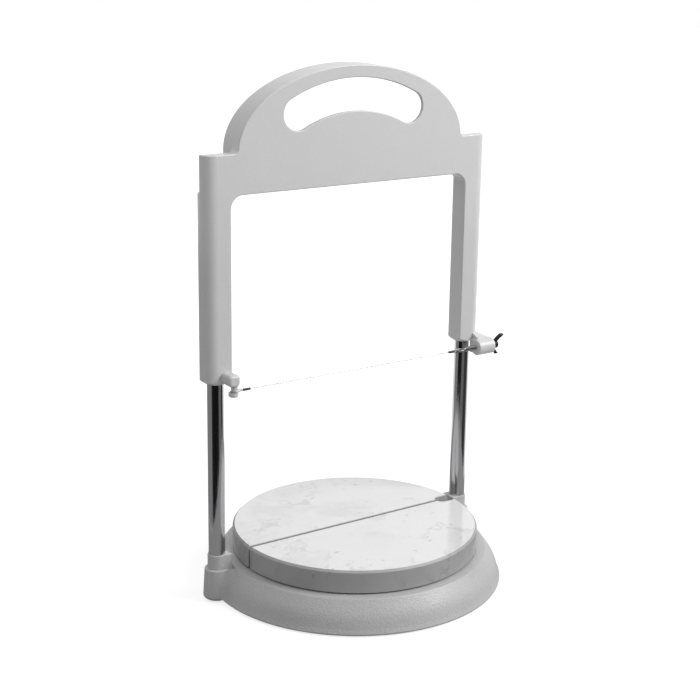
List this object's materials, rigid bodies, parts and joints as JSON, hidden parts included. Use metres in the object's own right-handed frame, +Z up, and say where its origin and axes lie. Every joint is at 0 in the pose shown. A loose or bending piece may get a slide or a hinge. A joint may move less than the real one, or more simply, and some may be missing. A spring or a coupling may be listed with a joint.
{
  "type": "wire cheese board",
  "caption": "Round split marble board on a cast base, with a sliding frame on steel columns that carries a taut cutting wire down into the gap.",
  "frame": {"origin": "on the table, under the middle of the marble board", "axes": "+Z up, +X towards the wing nut along the cutting wire, +Y away from the front of the board"},
  "size_m": [0.3411, 0.2936, 0.5075],
  "materials": {
    "paint": "hammertone enamel",
    "frame_paint": "smooth enamel",
    "steel": "ground and polished",
    "fixings": "zinc plated",
    "rubber": "matt",
    "marble": "polished",
    "bush_plastic": "moulded",
    "wire_steel": "drawn",
    "dark_steel": "blackened"
  },
  "bodies": {
    "base": {"base_casting": "paint", "column_left": "steel", "column_right": "steel", "column_screws": "fixings", "column_washers": "fixings", "rubber_feet": "rubber", "foot_screws": "fixings", "marble_pads": "rubber", "marble_front_half": "marble", "marble_rear_half": "marble"},
    "frame": {"frame_casting": "frame_paint", "bush_left_lower": "bush_plastic", "bush_left_upper": "bush_plastic", "bush_right_lower": "bush_plastic", "bush_right_upper": "bush_plastic", "cutting_wire": "wire_steel", "wire_crimp_left": "dark_steel", "wire_crimp_right": "dark_steel", "tension_washer": "fixings"},
    "screw": {"tension_screw": "wire_steel"},
    "nut": {"wing_nut": "dark_steel"}
  },
  "joints": [
    {"name": "frame_slide", "type": "slide", "parent": "base", "child": "frame", "axis": [0, 0, 1], "range_m": [-0.171, 0]},
    {"name": "wing_nut_turn", "type": "hinge", "parent": "frame", "child": "nut", "pos_m": [0.168, 0, 0.214], "axis": [1, 0, 0], "range_deg": [0, 540]},
    {"name": "tension_screw_slide", "type": "slide", "parent": "frame", "child": "screw", "axis": [-1, 0, 0], "range_m": [0, 0.0012]}
  ],
  "couplings": [
    {"joint": "tension_screw_slide", "follows": "wing_nut_turn", "m_per_rad": 0.00012732}
  ]
}
